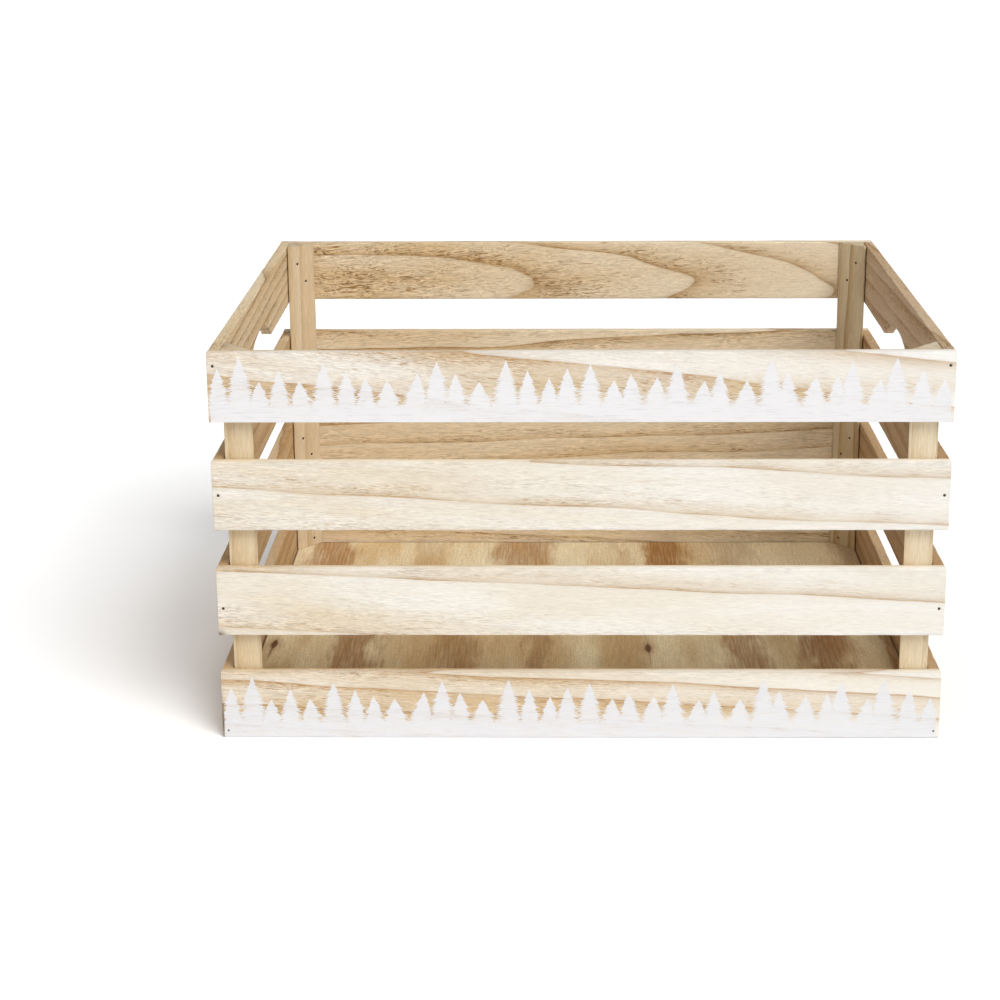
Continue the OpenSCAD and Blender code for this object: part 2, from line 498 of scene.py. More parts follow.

# Colours and strengths for the grain group's inputs, by kind of wood. What isn't named is 0. The narrow
# faces' input paints light on those of the pale wood and shade on those of the tan wood
woods = {
    "pale": dict(Pale="D9D6CE", Tan="C9B899", Brown="A5855C", Lines=0.9, Sharp=0.7, Streaks=0.85,
        Fibres=0.95, Bands=0.27, Fray=0.5, NarrowFaceLight=0.17, Pores=0.72, Waver=1.6, Inside=0.6),
    "tan": dict(Pale="E0D2B8", Tan="CAAD81", Brown="8A6638", Lines=0.9, Sharp=0.5, Streaks=0.85, Fibres=1.3,
        Bands=0.65, Tone=0.15, Fray=0.45, NarrowFaceLight=-0.08, Pores=1.1, Waver=4.5),
    "post": dict(Pale="D7C9AB", Tan="C3A97F", Brown="8C6C44", Lines=0.45, Sharp=0.3, Streaks=0.4, Fibres=1.0,
        Bands=0.45, Tone=0.1, Fray=0.4, Pores=1.0, Waver=1.5),
}

# Each board's place in the log, in mm: the pith lies at a height above the lower edge and a depth behind the
# outer face, and leans up and inwards by so much for each mm along the board. A negative ring width turns
# the rings inside out. Tan spots and dark marks: place along the outer face, height, reach along and up,
# strength. The dark marks are dirt at chipped corners, a dark strip at front slat 4's left end, and painted
# shade in patches along that slat's lower edge, where it meets the floor
boardGrain = {
    "front_slat_1": dict(pith=(248, 20, -0.115, 0.02), Ring=-30, Wobble=14, Pale="DEDCD7", Tan="C3AF90",
        Brown="A37E54", Tone=0.03, Streaks=1.2, Lines=1.4, Sharp=0.2, Bands=1.0, Fibres=1.0, Fade=0.8,
        NarrowFaceLight=0.05,
        tanSpots=((-165, 20, 85, 7, 0.5), (-10, 22, 75, 11, 0.65), (118, 20, 62, 7, 0.8),
                  (210, 22, 30, 6, 0.35))),
    # On front slats 2 and 3, Tone with Fade makes the wood tanner at the left end: painted shade, as the key
    # light falls from the right
    "front_slat_2": dict(pith=(-273, 30, -0.047, 0), Ring=-29, Wobble=9, Pale="DCDAD5", Tone=0.14, Lines=1.2,
        Fade=0.5, NarrowFaceLight=0.22),
    "front_slat_3": dict(pith=(-280, 40, -0.05, 0), Ring=-39.4, Wobble=7, Pale="DCDAD5", Tone=0.12, Fade=0.5,
        Streaks=0.6, Bands=0.16, Lines=0.75, Fibres=0.85, tanSpots=((-180, 12, 55, 12, 0.15),),
        grimeAndShade=((-234, 1, 3.5, 2, 0.8),)),
    "front_slat_4": dict(pith=(-230, 60, -0.05, 0), Ring=13.88, Wobble=9, Pale="DBD7CE", Tan="C1AA87",
        Brown="A27E55", Tone=0.15, Streaks=1.0, Lines=1.35, Sharp=0.5, Fibres=0.9, Bands=0.45, Fade=0.85,
        NarrowFaceLight=0.1,
        tanSpots=((-170, 22, 70, 8, 0.65), (-35, 22, 75, 8, 0.85), (95, 21, 70, 7, 0.6),
                  (200, 20, 40, 6, 0.4)),
        # A dark strip at the left end, then painted shade in patches along the lower edge, where the slat
        # meets the floor
        grimeAndShade=((-235, 12, 1.6, 13, 1.0), (-196, 0, 13, 0.7, 0.8), (-166, 0, 9, 0.7, 0.7),
               (30, 0, 11, 0.7, 0.6), (165, 0, 6, 0.7, 0.8), (212, 0, 16, 0.7, 0.6))),
    "back_slat_1": dict(pith=(11, 53.8, -0.02, 0.1), Ring=-11, Wobble=8, Streaks=1.7, Lines=1.4, Sharp=0.25,
        Fibres=1.9, Bands=0.8, Fray=0.1, Curve=0.25, Pores=1.4, Waver=8, Fade=0.8),
    "back_slat_2": dict(pith=(-190, -60, 0.05, 0), Ring=17, Wobble=14, Streaks=1.3, Lines=1.2, Fibres=1.8),
    "back_slat_3": dict(pith=(210, 80, 0.03, 0), Ring=15, Wobble=10, Streaks=1.2, Fibres=1.7, Tone=0.25),
    "back_slat_4": dict(pith=(-180, 90, -0.04, 0), Ring=14, Wobble=12, Streaks=1.1, Fibres=1.6),
    "left_slat_1": dict(pith=(-160, 40, 0.03, 0), Ring=9, Wobble=8, Tone=0.38, Streaks=1.3, Lines=1.2),
    # Side slats 2 to 4 are darker than the tan wood, the right ones darker still: partly the wood's own tone,
    # partly painted shade of the box's inside, deepest on the right, whose inner faces turn away from the key
    # light
    "left_slat_2": dict(pith=(170, -40, -0.04, 0), Ring=14, Wobble=10, Pale="D6C5A5", Tan="B89466",
        Tone=0.55),
    "left_slat_3": dict(pith=(-210, 60, 0.05, 0), Ring=16, Wobble=8, Pale="D6C5A5", Tan="B89466", Tone=0.5),
    "left_slat_4": dict(pith=(190, 30, 0.02, 0), Ring=13, Wobble=12, Pale="D6C5A5", Tan="B89466", Tone=0.5),
    "right_slat_1": dict(pith=(-150, 50, -0.05, 0), Ring=13, Wobble=9, Pale="D5C3A9", Tan="B19069", Tone=0.4,
        Streaks=1.4, Lines=1.1),
    "right_slat_2": dict(pith=(180, 40, 0.04, 0), Ring=15, Wobble=10, Pale="CBB28E", Tan="A7845B", Tone=0.5),
    "right_slat_3": dict(pith=(-200, -50, -0.03, 0), Ring=14, Wobble=8, Pale="CBB28E", Tan="A7845B",
        Tone=0.5),
    "right_slat_4": dict(pith=(160, 60, 0.03, 0), Ring=12, Wobble=10, Pale="CBB28E", Tan="A7845B",
        Tone=0.45),
    "front_left_post": dict(pith=(90, 40, 0.01, 0), Ring=14, Wobble=6, Pale="CDBD9F", Tan="C2A984",
        Tone=0.25),
    "front_right_post": dict(pith=(-80, 50, -0.01, 0), Ring=14, Wobble=6, Pale="D2C4AA", Tan="C5AD88"),
    "back_left_post": dict(pith=(80, -50, 0.012, 0), Ring=16, Wobble=6, Pale="D0BEA3", Tan="BDA276",
        Lines=0.8, Bands=0.9),
    "back_right_post": dict(pith=(-90, -40, -0.01, 0), Ring=5, Wobble=5, Tone=0.15, Lines=1.1, Bands=1.0),
}
for number, grain in enumerate(boardGrain.values(), 1):
    grain["Seed"] = number


# Puts the board's grain in a material: Object coordinates in mm, turned so that the pith is the x axis
def addGrain(tree, name, wood, frameOfBoard):
    grain = boardGrain[name]
    origin, along, up, inward = frameOfBoard
    height, depth, leanUp, leanInward = grain["pith"]
    pithLine = (along + up * leanUp + inward * leanInward).normalized()
    pithPoint = origin * 1000 + up * height + inward * depth
    turn = pithLine.rotation_difference(Vector((1, 0, 0)))
    objectPlace = tree.nodes.new("ShaderNodeTexCoord").outputs["Object"]
    mapped = addNode("Mapping", {"Vector": objectPlace, "Location": -(turn @ pithPoint),
                     "Rotation": turn.to_euler(), "Scale": (1000, 1000, 1000)}).outputs[0]
    group = addNode("Group", {"Place": mapped}, node_tree=grainGroup)
    for socket, value in {**woods[wood], **grain}.items():
        if socket in group.inputs:
            group.inputs[socket].default_value = hexColour(value) if isinstance(value, str) else value
    return group.outputs


def bareWood(name, wood, frameOfBoard):
    material, tree, shader = newMaterial("bare wood " + name, gloss=woodFinish["gloss"])
    grain = addGrain(tree, name, wood, frameOfBoard)
    link(grain["Roughness"], shader.inputs["Roughness"])
    feedShader(shader, grain["Color"], grain["Relief"], woodFinish["bump"])
    return material


# Drifts are a number that sets their luck, and their wave lengths in mm
slatCut = {
    "inset": 0.16,  # mm that bare faces stay inside the CAD faces, which leaves room for the paint
    "gap": 0.02,  # mm that all other faces stay inside them
    "allRound": 0,  # mm more on all four sides
    "easing": 0.75,  # mm taken off the long edges
    "easingDrift": 0.4,  # share by which that varies along an edge
    "easingMost": 3.5,  # mm, nicks included
    "endEasing": 0.5,
    "edgeDrift": 0.14,  # mm that the long edges wander
    "faceDrift": 0.03,  # mm that the broad faces wander
    "outerDrift": (1, 190, 83, 47),
    "innerDrift": (2, 160, 70),
    "lowerDrift": (3, 120, 37, 16),
    "upperDrift": (4, 140, 41, 18),
    "cornerDrift": (10, 60, 23, 9),
    "nicks": 7,  # dents in the edges of each slat
    "nickFree": 4,  # mm without nicks at its ends
    "nickEdges": (0, 4),  # from this corner of the outline to before that one
    "nickDepth": (0.5, 1.3),
    "nickLength": (0.9, 3.2),
    "nickSpot": (2, 3),  # finer steps at a nick: over so many of its lengths, so many in each
    "wear": (0.5, 0.9),  # mm from an edge that are worn, and over which the wear falls off
    "step": 5,  # mm along the slat from one outline to the next
    "holdStep": 2.5,  # the same for a slat with a hand hold
    "endSpot": (0.3, 0.35, 0.1),  # finer steps at the ends: mm from the end, reach and step
    "holdSpot": (1.5, 0.25),
    "broadStep": 4.2,  # mm across the broad face
    "broadMargin": 2,  # mm at its sides without such steps
    "outerShares": (0.012, 0.988),  # first and last place on the outer face
    "innerShares": (0.04, 0.96, 9),  # the same on the inner face, and how many
    "thinShares": (0.2, 0.5, 0.8),  # places on the narrow faces
}

# The dent that a set brad leaves, in mm. Steps are finer round it: reach and step
bradCut = {"floorRadius": 0.95, "rimRadius": 1.2, "depth": 0.55, "slatSpot": (1.9, 0.25),
           "postSpot": (1.9, 0.3)}
cornerBrad = {"fromEnd": 3.75, "rises": (37, 23.5, 18.5, 5)}  # mm, row 1 first, as in the CAD part
handHold = {"length": 108, "rise": 16}
seedSteps = {"drift": 31, "nicks": 97}  # keep each board's luck apart from the next one's

# Directions along a slat and into the box, and its wood
sides = {
    "front": ((1, 0, 0), (0, 1, 0), "pale"),
    "back": ((1, 0, 0), (0, -1, 0), "tan"),
    "left": ((0, 1, 0), (1, 0, 0), "tan"),
    "right": ((0, 1, 0), (-1, 0, 0), "tan"),
}


def boardDrift(place, seed, number, *waves):
    return drift(place, seed * seedSteps["drift"] + number, waves)


# Places, edges, depths and lengths of a board's nicks
def drawNicks(cut, seed, start, end):
    dice = np.random.default_rng(seed * seedSteps["nicks"])
    free, count = cut["nickFree"], cut["nicks"]
    return (dice.uniform(start + free, end - free, count), dice.integers(*cut["nickEdges"], count),
            dice.uniform(*cut["nickDepth"], count), dice.uniform(*cut["nickLength"], count))


# Stations along a board: finer at its ends, at nicks and round the given spots
def boardStations(cut, step, start, end, nicks, spots):
    away, reach, fine = cut["endSpot"]
    lengths, steps = cut["nickSpot"]
    spots = spots + [(place, reach, fine) for place in (start + away, end - away)]
    spots += [(place, size * lengths, size / steps) for place, _, _, size in zip(*nicks)]
    return cutPlaces(start, end, step, spots)


# Cuts a board out of its corners at each station. Edges are eased by a drifting amount, to which a nick adds
# its depth times e^-(x / length)^2. Ends are rounded: at distance d from the end an outline shrinks by
# r - sqrt(r^2 - (r - d)^2). The stations are kept inside the CAD part
def cutBoard(cut, seed, place, start, end, corners, nicks, shares):
    number, *waves = cut["cornerDrift"]
    count = corners.shape[1]
    wander = np.stack([boardDrift(place, seed, number + k, *waves) for k in range(count)], axis=1)
    easing = cut["easing"] * (1 + cut["easingDrift"] * wander)
    nickPlace, nickEdge, nickDepth, nickLength = nicks
    dents = np.exp(-((place[:, None] - nickPlace) / nickLength) ** 2) * nickDepth
    easing = np.minimum(easing + dents @ (nickEdge[:, None] == np.arange(count)), cut["easingMost"])
    radius = cut["endEasing"]
    short = radius - np.minimum(np.minimum(place - start, end - place), radius)
    corners = shrunkCorners(corners, cut["allRound"] + radius - np.sqrt(radius ** 2 - short ** 2))
    place = np.clip(place, start + cut["gap"], end - cut["gap"])
    return place, corners, easedOutlines(corners, easing, shares)


# Share of a brad's dent at a distance from it: all inside the floor's radius, none outside the rim's
def dentShare(away):
    slope = (bradCut["rimRadius"] - away) / (bradCut["rimRadius"] - bradCut["floorRadius"])
    return np.clip(slope, 0, 1)


# Origin at the middle of the outer face's lower edge, and the directions along, up and inward
def slatFrame(name):
    along, inward = [Vector(direction) for direction in sides[name.split("_")[0]][:2]]
    low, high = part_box(name)
    origin = (low + high) / 2
    origin.z = low.z
    depth = abs((high - low).dot(inward))
    return origin - inward * depth / 2, along, Vector((0, 0, 1)), inward


# Depth of a slat's outer face behind the CAD face, in mm, at a place along it
def faceDepth(place, seed):
    return slatCut["inset"] + slatCut["faceDrift"] * boardDrift(place, seed, *slatCut["outerDrift"])


# Height of a hand hold's arch: a circle through the ends of the hold and its highest point
def archHeight(place):
    half, rise = handHold["length"] / 2, handHold["rise"]
    radius = (half ** 2 + rise ** 2) / (2 * rise)
    inside = np.maximum(radius ** 2 - place ** 2, 0)
    return np.maximum(np.sqrt(inside) - radius + rise, 0) * (np.abs(place) < half)


# A slat's outline is a rectangle of (height, depth) with eased corners, and its sides wander along it
def makeSlat(name):
    side, _, row = name.split("_")
    seed = boardGrain[name]["Seed"]
    low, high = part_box(name)
    frameOfSlat = slatFrame(name)
    _, along, _, inward = frameOfSlat
    half = abs((high - low).dot(along)) * 1000 / 2
    height, thick = (high.z - low.z) * 1000, abs((high - low).dot(inward)) * 1000
    hasBrads = side in ("front", "back")
    hasHold = side in ("left", "right") and row == "1"
    bradPlaces = [half - cornerBrad["fromEnd"], cornerBrad["fromEnd"] - half] if hasBrads else []
    bradRise = cornerBrad["rises"][int(row) - 1]

    nicks = drawNicks(slatCut, seed, -half, half)
    spots = [(place, *bradCut["slatSpot"]) for place in bradPlaces]
    if hasHold:
        spots += [(sign * handHold["length"] / 2, *slatCut["holdSpot"]) for sign in (-1, 1)]
    step = slatCut["holdStep" if hasHold else "step"]
    place = boardStations(slatCut, step, -half, half, nicks, spots)

    # Corners of each outline (height, depth): outer lower, outer upper, inner upper, inner lower
    gap, edge, face = slatCut["gap"], slatCut["edgeDrift"], slatCut["faceDrift"]
    outer = faceDepth(place, seed)
    inner = thick - gap - face * (1 + boardDrift(place, seed, *slatCut["innerDrift"]))
    bottom = gap + edge * (1 + boardDrift(place, seed, *slatCut["lowerDrift"])) / 2
    top = height - gap - edge * (1 + boardDrift(place, seed, *slatCut["upperDrift"])) / 2
    if hasHold:
        bottom = np.maximum(bottom, archHeight(place))
    corners = np.stack([bottom, outer, top, outer, top, inner, bottom, inner], -1).reshape(-1, 4, 2)
    faceSpots = [(bradRise, *bradCut["slatSpot"])] if hasBrads else []
    margin, (first, last) = slatCut["broadMargin"], slatCut["outerShares"]
    broad = cutPlaces(margin, height - margin, slatCut["broadStep"], faceSpots) / height
    thin = np.array(slatCut["thinShares"])
    shares = [np.array([first, *broad, last]), thin, np.linspace(*slatCut["innerShares"]), thin]
    place, corners, outlines = cutBoard(slatCut, seed, place, -half, half, corners, nicks, shares)
    for bradPlace in bradPlaces:
        away = np.hypot(place[:, None] - bradPlace, outlines[..., 0] - bradRise)
        sunk = dentShare(away) * (outlines[..., 1] < 1)
        outlines[..., 1] += sunk * (bradCut["depth"] - outlines[..., 1])

    # Fields that the wood's material reads
    fields = wearFields(slatCut, outlines, corners, half - np.abs(place))
    rise, depth = outlines[..., 0], outlines[..., 1]
    fields["narrowFace"] = np.clip(np.minimum(depth - outer[:, None], inner[:, None] - depth), 0, 1)
    fields["innerFace"] = np.clip(depth - thick / 2, 0, 1)
    # Dark marks (dirt, and painted shade at front slat 4's lower edge) and tan spots
    for field, kind in (("grimeAndShade", "grimeAndShade"), ("tanSpot", "tanSpots")):
        total = np.zeros_like(depth)
        for spotPlace, spotRise, reachAlong, reachUp, strength in boardGrain[name].get(kind, ()):
            total += strength * np.exp(-((place[:, None] - spotPlace) / reachAlong) ** 2
                                       - ((rise - spotRise) / reachUp) ** 2)
        fields[field] = np.clip(total, 0, woodFinish["spotMost"]) * (depth < thick / 2)

    points = np.stack([np.broadcast_to(place[:, None], rise.shape), rise, depth], axis=-1)
    slat = shellMesh(name + "_board", [placePoints(frameOfSlat, points)[None]], fields)
    wood = sides[side][2]
    slat.data.materials.append(bareWood(name, wood, frameOfSlat))
    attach(slat, "root")
    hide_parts(name)


postCut = {
    "leg": 19.5,  # mm, the sides that lie against the slats
    "blunt": 1.0,  # mm, the flats on the two thin edges
    "easing": 0.35,
    "easingDrift": 0.35,
    "easingMost": 0.48,  # mm, so that the easings of a thin edge don't meet
    "endEasing": 0.35,
    "cornerDrift": (10, 60, 21, 9),
    "allRound": 0.05,  # mm that its sides stay inside the CAD post
    "gap": 0.02,  # the same for its ends
    "bradOffset": 4.0,  # mm from the middle of the broad face
    "longRise": 16.5,  # mm above each row's lower edge
    "sideRise": 31.5,
    "nicks": 5,
    "nickFree": 5,
    "nickEdges": (1, 5),
    "nickDepth": (0.5, 0.5),
    "nickLength": (1.6, 1.6),
    "nickSpot": (2.5, 1.6),
    "wear": (0.3, 0.8),
    "step": 6,
    "endSpot": (0.2, 0.25, 0.1),
    "broadStep": 3.5,
    "broadMargin": 1.5,
    "legShares": (0.06, 0.94, 6),
    "thinShares": (0.5,),
    "dentSkin": 1.2,  # what is this near to the broad face lies on it, in mm of x + y
}


# The outline is the CAD post's pentagon with eased corners, carried up from the foot to the rim. It is
# worked out in mm from the post's square corner, and signs turn it into its own corner of the box
def makePost(name):
    seed = boardGrain[name]["Seed"]
    low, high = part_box(name)
    signs = np.array([-1 if "left" in name else 1, -1 if "front" in name else 1])
    square = np.array([low.x if signs[0] < 0 else high.x, low.y if signs[1] < 0 else high.y]) * 1000
    foot, head = low.z * 1000, high.z * 1000
    offset, diagonal = postCut["bradOffset"], math.sqrt(2)
    brads = []
    for row in (1, 2, 3, 4):
        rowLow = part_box("front_slat_%d" % row)[0].z * 1000
        brads += [(rowLow + postCut["longRise"], offset), (rowLow + postCut["sideRise"], -offset)]

    nicks = drawNicks(postCut, seed, foot, head)
    spots = [(height, *bradCut["postSpot"]) for height, _ in brads]
    place = boardStations(postCut, postCut["step"], foot, head, nicks, spots)

    tip, blunt = postCut["leg"] - postCut["blunt"], postCut["blunt"]
    pentagon = np.array([[0, 0], [tip, 0], [tip, blunt], [blunt, tip], [0, tip]])
    corners = np.repeat(pentagon[None], len(place), axis=0)
    wide = (tip - blunt) * diagonal
    broadSpots = [(wide / 2 - offset, *bradCut["postSpot"]), (wide / 2 + offset, *bradCut["postSpot"])]
    margin = postCut["broadMargin"]
    broad = cutPlaces(margin, wide - margin, postCut["broadStep"], broadSpots) / wide
    leg, thin = np.linspace(*postCut["legShares"]), np.array(postCut["thinShares"])
    place, corners, outlines = cutBoard(postCut, seed, place, foot, head, corners, nicks,
                                        [leg, thin, broad, thin, leg])

    # Dents of the brads: across the broad face lies (x - y) / sqrt 2, and into it (x + y) / sqrt 2
    across = (outlines[..., 0] - outlines[..., 1]) / diagonal
    onFace = outlines.sum(2) > tip + blunt - postCut["dentSkin"]
    for height, aside in brads:
        away = np.hypot(place[:, None] - height, across - aside)
        sunk = dentShare(away) * onFace * bradCut["depth"]
        outlines -= sunk[..., None] / diagonal

    fields = wearFields(postCut, outlines, corners, np.minimum(place - foot, head - place))
    points = np.empty((*outlines.shape[:2], 3))
    points[..., :2] = square - outlines * signs
    points[..., 2] = place[:, None]
    post = shellMesh(name + "_stick", [points[None] * 0.001], fields)
    corner = Vector((square[0], square[1], 0)) * 0.001
    frameOfPost = (corner, Vector((0, 0, 1)), Vector((-signs[0], 0, 0)), Vector((0, -signs[1], 0)))
    post.data.materials.append(bareWood(name, "post", frameOfPost))
    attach(post, "root")
    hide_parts(name)


# Sizes of the patterns are mm along the face grain and across it, then detail and roughness
plywood = {
    "pale": ("DECDA6", "D4C5A4"),  # in the front part and in the rear part
    # painted light: the right rear corner is paler to lift the shade that the right slats cast there
    "cornerPaintedLight": ("ECD9B2", 0.8, 115, 170),  # right rear corner: colour, strength, start and end in mm
    "rearPart": (-10.0, 100.0),  # mm from the middle, where the front part ends and the rear part starts
    "tan": "C1A374",
    "cloud": (150, 30, 2),
    "cloudCut": (0.35, 0.68),  # values of the pattern at which its patches start and are full
    "stain": "8F602D",
    # Stains as (middle across the panel, half width, strength), mm: in its rear part and in its front part
    "rearStains": ((-200, 24, 0.8), (-118, 14, 0.3), (-42, 31, 0.75), (38, 12, 0.25), (70, 27, 0.95),
                   (129, 27, 0.4), (224, 24, 0.4)),
    "frontStains": ((-160, 24, 0.85), (-86, 24, 0.65), (-25, 14, 0.6), (40, 16, 0.2), (119, 17, 0.75),
                    (176, 22, 0.85), (228, 14, 0.85)),
    "stainShape": ((-1, 0), (-0.35, 1), (0.35, 1), (1, 0)),  # half widths from the middle, share of strength
    "sway": (60, 22, 2, 0.6),  # long bends of the stains
    "swayWidth": (46.0, 70.0),  # mm that they move the stains' sides, and their ends
    "fray": (24, 2.2, 2, 0.6),
    "frayWidth": 16.0,
    "streak": (34, 1.5, 2, 0.65),
    "streakCut": (0.3, 0.62),
    "stainStreaks": (0.4, 0.6),  # strength of a stain: more in the streaks, and everywhere
    "fibre": (22, 0.7, 2, 0.65),
    "speckle": (2.2, 1.1, 1, 0.6),
    "speckleShare": 0.6,  # strength of the speckles beside the fibres
    "fibreMiddle": 0.8,  # mean of both
    "fibreShade": 0.85,
    # Knots and their tails, mm: place across and along, half width, half length, lean, strength
    "knots": ((-219, -45, 2.7, 9, 0.05, 0.95), (-220, -59, 0.8, 11, 0.05, 0.6), (50, -52, 2.7, 9, 0.0, 0.95),
              (50.5, -70, 0.7, 16, 0.0, 0.3)),
    "knotColour": "55280F",
    # A knot's halo and core: how far out it starts to fade and ends, strength, colour
    "knotParts": ((0.6, 4.0, 0.4, "stain"), (0.4, 1.3, 1.0, "knotColour")),
    # dust and painted shade along the panel's edges
    "seamDustAndShade": ("453021", 0.8, -1.3, -0.3),  # dark line along its edges: as for the corner
    "roughness": 0.62,
    "gloss": 0.3,
    "bump": (0.4, 0.0001),
}


# Stain strength across the panel: a curve that rises to each stain's strength and falls to 0 between them
def stainCurve(across, stains, reach=250.0):
    shown = addNode("MapRange", {"Value": across, "From Min": -reach, "From Max": reach})
    ramp = addNode("ValToRGB", {"Fac": shown.outputs[0]})
    ramp.color_ramp.interpolation = "EASE"
    stops = [(middle + step * width, strength * share) for middle, width, strength in stains
             for step, share in plywood["stainShape"]]
    while len(ramp.color_ramp.elements) < len(stops):
        ramp.color_ramp.elements.new(0.5)
    for stop, (place, strength) in zip(ramp.color_ramp.elements, sorted(stops)):
        stop.position = min(max((place + reach) / (2 * reach), 0), 1)
        stop.color = (strength, strength, strength, 1)
    return ramp.outputs["Color"]


# Peeled veneer: pale wood with brown stains that run from front to back, fine fibres and two small knots
def dressBottom():
    material, tree, shader = newMaterial("plywood bottom", plywood["roughness"], plywood["gloss"])
    flat = millimetres(tree)
    # The face grain runs from front to back, so it becomes the pattern's x
    place = addNode("Mapping", {"Vector": flat, "Rotation": (0, 0, math.pi / 2)}).outputs[0]
    panelPlace = axesOf(flat)

    def noise(name):
        return grainNoise(place, *plywood[name])

    sway, fray = [calc("SUBTRACT", noise(name), 0.5) for name in ("sway", "fray")]
    swaySides, swayEnds = plywood["swayWidth"]
    across = scaled(sway, swaySides, scaled(fray, plywood["frayWidth"], panelPlace["X"]))
    towardsRear = between(scaled(sway, swayEnds, panelPlace["Y"]), *plywood["rearPart"])
    stain = blendColour(towardsRear, stainCurve(across, plywood["frontStains"]),
                        stainCurve(across, plywood["rearStains"]))
    streaky = between(noise("streak"), *plywood["streakCut"])
    stain = scaled(stain, scaled(streaky, *plywood["stainStreaks"]), clamp=True)

    clouds = between(noise("cloud"), *plywood["cloudCut"])
    palePart = blendColour(towardsRear, *plywood["pale"])
    # Painted light in the right rear corner: a paler colour without tan clouds, lifting the slats' shade
    cornerLightColour, cornerLightShare, cornerStart, cornerEnd = plywood["cornerPaintedLight"]
    corner = scaled(towardsRear, between(across, cornerStart, cornerEnd, cornerLightShare))
    palePart = blendColour(corner, palePart, cornerLightColour)
    clouds = scaled(clouds, calc("SUBTRACT", 1.0, corner))
    colour = blendColour(clouds, palePart, plywood["tan"])
    colour = blendColour(stain, colour, plywood["stain"])
    fibre = noise("fibre")
    both = calc("ADD", fibre, scaled(noise("speckle"), plywood["speckleShare"]))
    shade = scaled(calc("SUBTRACT", both, plywood["fibreMiddle"]), plywood["fibreShade"], 1.0)
    colour = vectorCalc("SCALE", colour, shade)

    # A knot is where |x| / half width + (y / half length)^2 is under 1, which has a point at both ends
    for acrossPanel, alongPanel, halfWide, halfLong, lean, strength in plywood["knots"]:
        knotPlace = axesOf(addNode("Mapping", {
            "Vector": flat, "Location": (-acrossPanel / halfWide, -alongPanel / halfLong, 0),
            "Scale": (1 / halfWide, 1 / halfLong, 0)}).outputs[0])
        lengthPart = scaled(knotPlace["Y"], knotPlace["Y"])
        leaned = scaled(knotPlace["Y"], -lean * halfLong / halfWide, knotPlace["X"])
        away = calc("ADD", calc("ABSOLUTE", leaned), lengthPart)
        for start, end, most, tone in plywood["knotParts"]:
            share = calc("SUBTRACT", most * strength, between(away, start, end, most * strength))
            colour = blendColour(share, colour, plywood[tone])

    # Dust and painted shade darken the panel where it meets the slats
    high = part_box("bottom_panel")[1] * 1000
    seamColour, seamStrength, seamStart, seamEnd = plywood["seamDustAndShade"]
    pastSide, pastEnd = [calc("SUBTRACT", calc("ABSOLUTE", panelPlace[axis]), edge)
                         for axis, edge in (("X", high.x), ("Y", high.y))]
    seamDustAndShade = between(calc("MAXIMUM", pastSide, pastEnd), seamStart, seamEnd, seamStrength)
    colour = blendColour(seamDustAndShade, colour, seamColour)
    feedShader(shader, colour, fibre, plywood["bump"])
    dressNode("bottom_panel", material)


bradSteel = {"steel": "4A4038", "rust": "5A3A24", "rustStart": (0.47, 0.7), "roughness": (0.35, 0.4),
             "metal": 0.6, "bump": (0.3, 0.0001), "spots": (900.0, 3.0)}  # spots: number in a metre, detail


def dressBrads():
    material, tree, shader = newMaterial("brad steel")
    shader.inputs["Metallic"].default_value = bradSteel["metal"]
    place = tree.nodes.new("ShaderNodeTexCoord").outputs["Object"]
    scale, detail = bradSteel["spots"]
    spots = addNode("TexNoise", {"Vector": place, "Scale": scale, "Detail": detail}).outputs[0]
    rust = between(spots, *bradSteel["rustStart"])
    colour = blendColour(rust, bradSteel["steel"], bradSteel["rust"])
    link(scaled(rust, *bradSteel["roughness"]), shader.inputs["Roughness"])
    feedShader(shader, colour, spots, bradSteel["bump"])
    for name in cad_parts:
        if name.endswith("brads"):
            dressNode(name, material)


